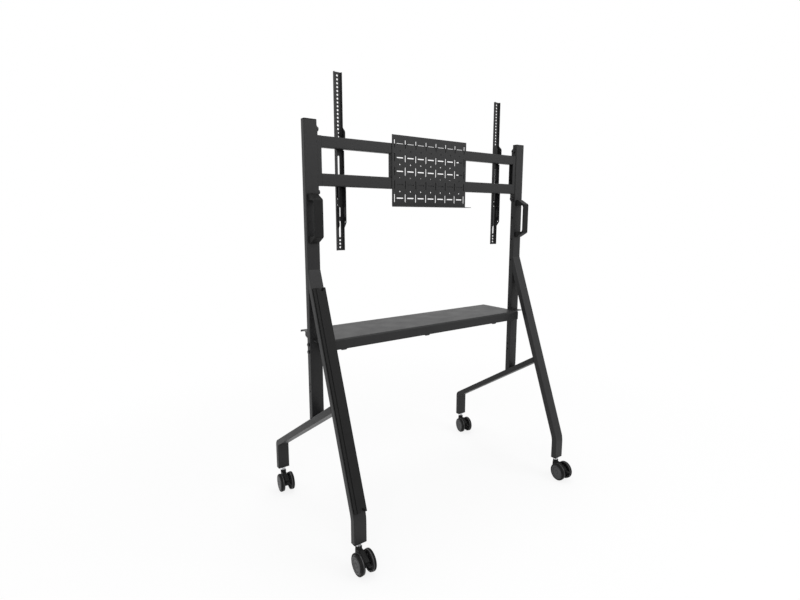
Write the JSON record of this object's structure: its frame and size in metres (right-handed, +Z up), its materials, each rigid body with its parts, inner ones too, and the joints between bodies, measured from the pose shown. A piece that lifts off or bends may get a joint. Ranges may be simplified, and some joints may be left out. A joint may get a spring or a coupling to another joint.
{
  "type": "mobile tv stand",
  "caption": "Tall mobile television stand: black tube frame on casters, rails with hook-on screen arms, a slotted plate, handles and a shelf.",
  "frame": {"origin": "on the floor, in the middle of the stand's width and depth", "axes": "+X along the rails, to the right of someone behind the stand who faces its front; +Y to the front, the television's side; +Z up"},
  "size_m": [1.1478, 0.7532, 1.7195],
  "materials": {
    "frame_paint": "semi-gloss black powder coat",
    "black_steel": "black coated steel",
    "black_plastic": "moulded black nylon",
    "wheel_plastic": "moulded grey-black plastic",
    "zinc": "bright zinc plated"
  },
  "bodies": {
    "frame": {"post_left": "frame_paint", "post_cap_left": "black_plastic", "rear_leg_left": "frame_paint", "base_bar_left": "frame_paint", "rail_bracket_left": "frame_paint", "rail_bolt_upper_left": "black_steel", "rail_bolt_lower_left": "black_steel", "rail_strut_left": "frame_paint", "handle_left": "black_plastic", "shelf_bracket_left": "frame_paint", "shelf_bolt_upper_left": "black_steel", "shelf_bolt_lower_left": "black_steel", "post_right": "frame_paint", "post_cap_right": "black_plastic", "rear_leg_right": "frame_paint", "base_bar_right": "frame_paint", "rail_bracket_right": "frame_paint", "rail_bolt_upper_right": "black_steel", "rail_bolt_lower_right": "black_steel", "rail_strut_right": "frame_paint", "handle_right": "black_plastic", "shelf_bracket_right": "frame_paint", "shelf_bolt_upper_right": "black_steel", "shelf_bolt_lower_right": "black_steel", "rail_top": "frame_paint", "rail_bottom": "frame_paint", "accessory_plate": "frame_paint", "cable_cover": "black_plastic", "shelf": "frame_paint", "shelf_hook_left": "black_steel", "shelf_hook_middle": "black_steel", "shelf_hook_right": "black_steel", "caster_stem_rear_left": "zinc", "caster_stem_rear_right": "zinc", "caster_stem_front_left": "zinc", "caster_stem_front_right": "zinc"},
    "arm_left": {"vesa_arm_left": "frame_paint"},
    "latch_left": {"arm_latch_left": "black_steel"},
    "arm_right": {"vesa_arm_right": "frame_paint"},
    "latch_right": {"arm_latch_right": "black_steel"},
    "caster_rear_left": {"caster_housing_rear_left": "black_plastic", "caster_axle_rear_left": "zinc"},
    "wheel_left_rear_left": {"wheel_left_rear_left": "wheel_plastic"},
    "wheel_right_rear_left": {"wheel_right_rear_left": "wheel_plastic"},
    "pedal_rear_left": {"brake_pedal_rear_left": "black_plastic"},
    "caster_rear_right": {"caster_housing_rear_right": "black_plastic", "caster_axle_rear_right": "zinc"},
    "wheel_left_rear_right": {"wheel_left_rear_right": "wheel_plastic"},
    "wheel_right_rear_right": {"wheel_right_rear_right": "wheel_plastic"},
    "pedal_rear_right": {"brake_pedal_rear_right": "black_plastic"},
    "caster_front_left": {"caster_housing_front_left": "black_plastic", "caster_axle_front_left": "zinc"},
    "wheel_left_front_left": {"wheel_left_front_left": "wheel_plastic"},
    "wheel_right_front_left": {"wheel_right_front_left": "wheel_plastic"},
    "pedal_front_left": {"brake_pedal_front_left": "black_plastic"},
    "caster_front_right": {"caster_housing_front_right": "black_plastic", "caster_axle_front_right": "zinc"},
    "wheel_left_front_right": {"wheel_left_front_right": "wheel_plastic"},
    "wheel_right_front_right": {"wheel_right_front_right": "wheel_plastic"},
    "pedal_front_right": {"brake_pedal_front_right": "black_plastic"}
  },
  "joints": [
    {"name": "arm_slide_left", "type": "slide", "parent": "frame", "child": "arm_left", "axis": [1, 0, 0], "range_m": [-0.07, 0.31]},
    {"name": "latch_slide_left", "type": "slide", "parent": "arm_left", "child": "latch_left", "axis": [0, 0, 1], "range_m": [-0.012, 0]},
    {"name": "arm_slide_right", "type": "slide", "parent": "frame", "child": "arm_right", "axis": [1, 0, 0], "range_m": [-0.31, 0.07]},
    {"name": "latch_slide_right", "type": "slide", "parent": "arm_right", "child": "latch_right", "axis": [0, 0, 1], "range_m": [-0.012, 0]},
    {"name": "swivel_rear_left", "type": "hinge", "parent": "frame", "child": "caster_rear_left", "pos_m": [-0.54, -0.2935, 0.08], "axis": [0, 0, 1], "continuous": true},
    {"name": "spin_left_rear_left", "type": "hinge", "parent": "caster_rear_left", "child": "wheel_left_rear_left", "pos_m": [-0.54146, -0.32987, 0.03867], "axis": [0.9992, -0.0401, 0], "continuous": true},
    {"name": "spin_right_rear_left", "type": "hinge", "parent": "caster_rear_left", "child": "wheel_right_rear_left", "pos_m": [-0.54146, -0.32987, 0.03867], "axis": [0.9992, -0.0401, 0], "continuous": true},
    {"name": "brake_rear_left", "type": "hinge", "parent": "caster_rear_left", "child": "pedal_rear_left", "pos_m": [-0.54217, -0.34746, 0.048], "axis": [0.9992, -0.0401, 0], "range_deg": [0, 16]},
    {"name": "swivel_rear_right", "type": "hinge", "parent": "frame", "child": "caster_rear_right", "pos_m": [0.54, -0.2935, 0.08], "axis": [0, 0, 1], "continuous": true},
    {"name": "spin_left_rear_right", "type": "hinge", "parent": "caster_rear_right", "child": "wheel_left_rear_right", "pos_m": [0.53619, -0.3297, 0.03867], "axis": [0.9945, -0.1045, 0], "continuous": true},
    {"name": "spin_right_rear_right", "type": "hinge", "parent": "caster_rear_right", "child": "wheel_right_rear_right", "pos_m": [0.53619, -0.3297, 0.03867], "axis": [0.9945, -0.1045, 0], "continuous": true},
    {"name": "brake_rear_right", "type": "hinge", "parent": "caster_rear_right", "child": "pedal_rear_right", "pos_m": [0.53436, -0.3472, 0.048], "axis": [0.9945, -0.1045, 0], "range_deg": [0, 16]},
    {"name": "swivel_front_left", "type": "hinge", "parent": "frame", "child": "caster_front_left", "pos_m": [-0.54, 0.364, 0.08], "axis": [0, 0, 1], "continuous": true},
    {"name": "spin_left_front_left", "type": "hinge", "parent": "caster_front_left", "child": "wheel_left_front_left", "pos_m": [-0.54406, 0.32783, 0.03867], "axis": [0.9938, -0.1115, 0], "continuous": true},
    {"name": "spin_right_front_left", "type": "hinge", "parent": "caster_front_left", "child": "wheel_right_front_left", "pos_m": [-0.54406, 0.32783, 0.03867], "axis": [0.9938, -0.1115, 0], "continuous": true},
    {"name": "brake_front_left", "type": "hinge", "parent": "caster_front_left", "child": "pedal_front_left", "pos_m": [-0.54602, 0.31034, 0.048], "axis": [0.9938, -0.1115, 0], "range_deg": [0, 16]},
    {"name": "swivel_front_right", "type": "hinge", "parent": "frame", "child": "caster_front_right", "pos_m": [0.54, 0.364, 0.08], "axis": [0, 0, 1], "continuous": true},
    {"name": "spin_left_front_right", "type": "hinge", "parent": "caster_front_right", "child": "wheel_left_front_right", "pos_m": [0.5328, 0.32832, 0.03867], "axis": [0.9803, -0.1977, 0], "continuous": true},
    {"name": "spin_right_front_right", "type": "hinge", "parent": "caster_front_right", "child": "wheel_right_front_right", "pos_m": [0.5328, 0.32832, 0.03867], "axis": [0.9803, -0.1977, 0], "continuous": true},
    {"name": "brake_front_right", "type": "hinge", "parent": "caster_front_right", "child": "pedal_front_right", "pos_m": [0.52933, 0.31106, 0.048], "axis": [0.9803, -0.1977, 0], "range_deg": [0, 16]}
  ]
}
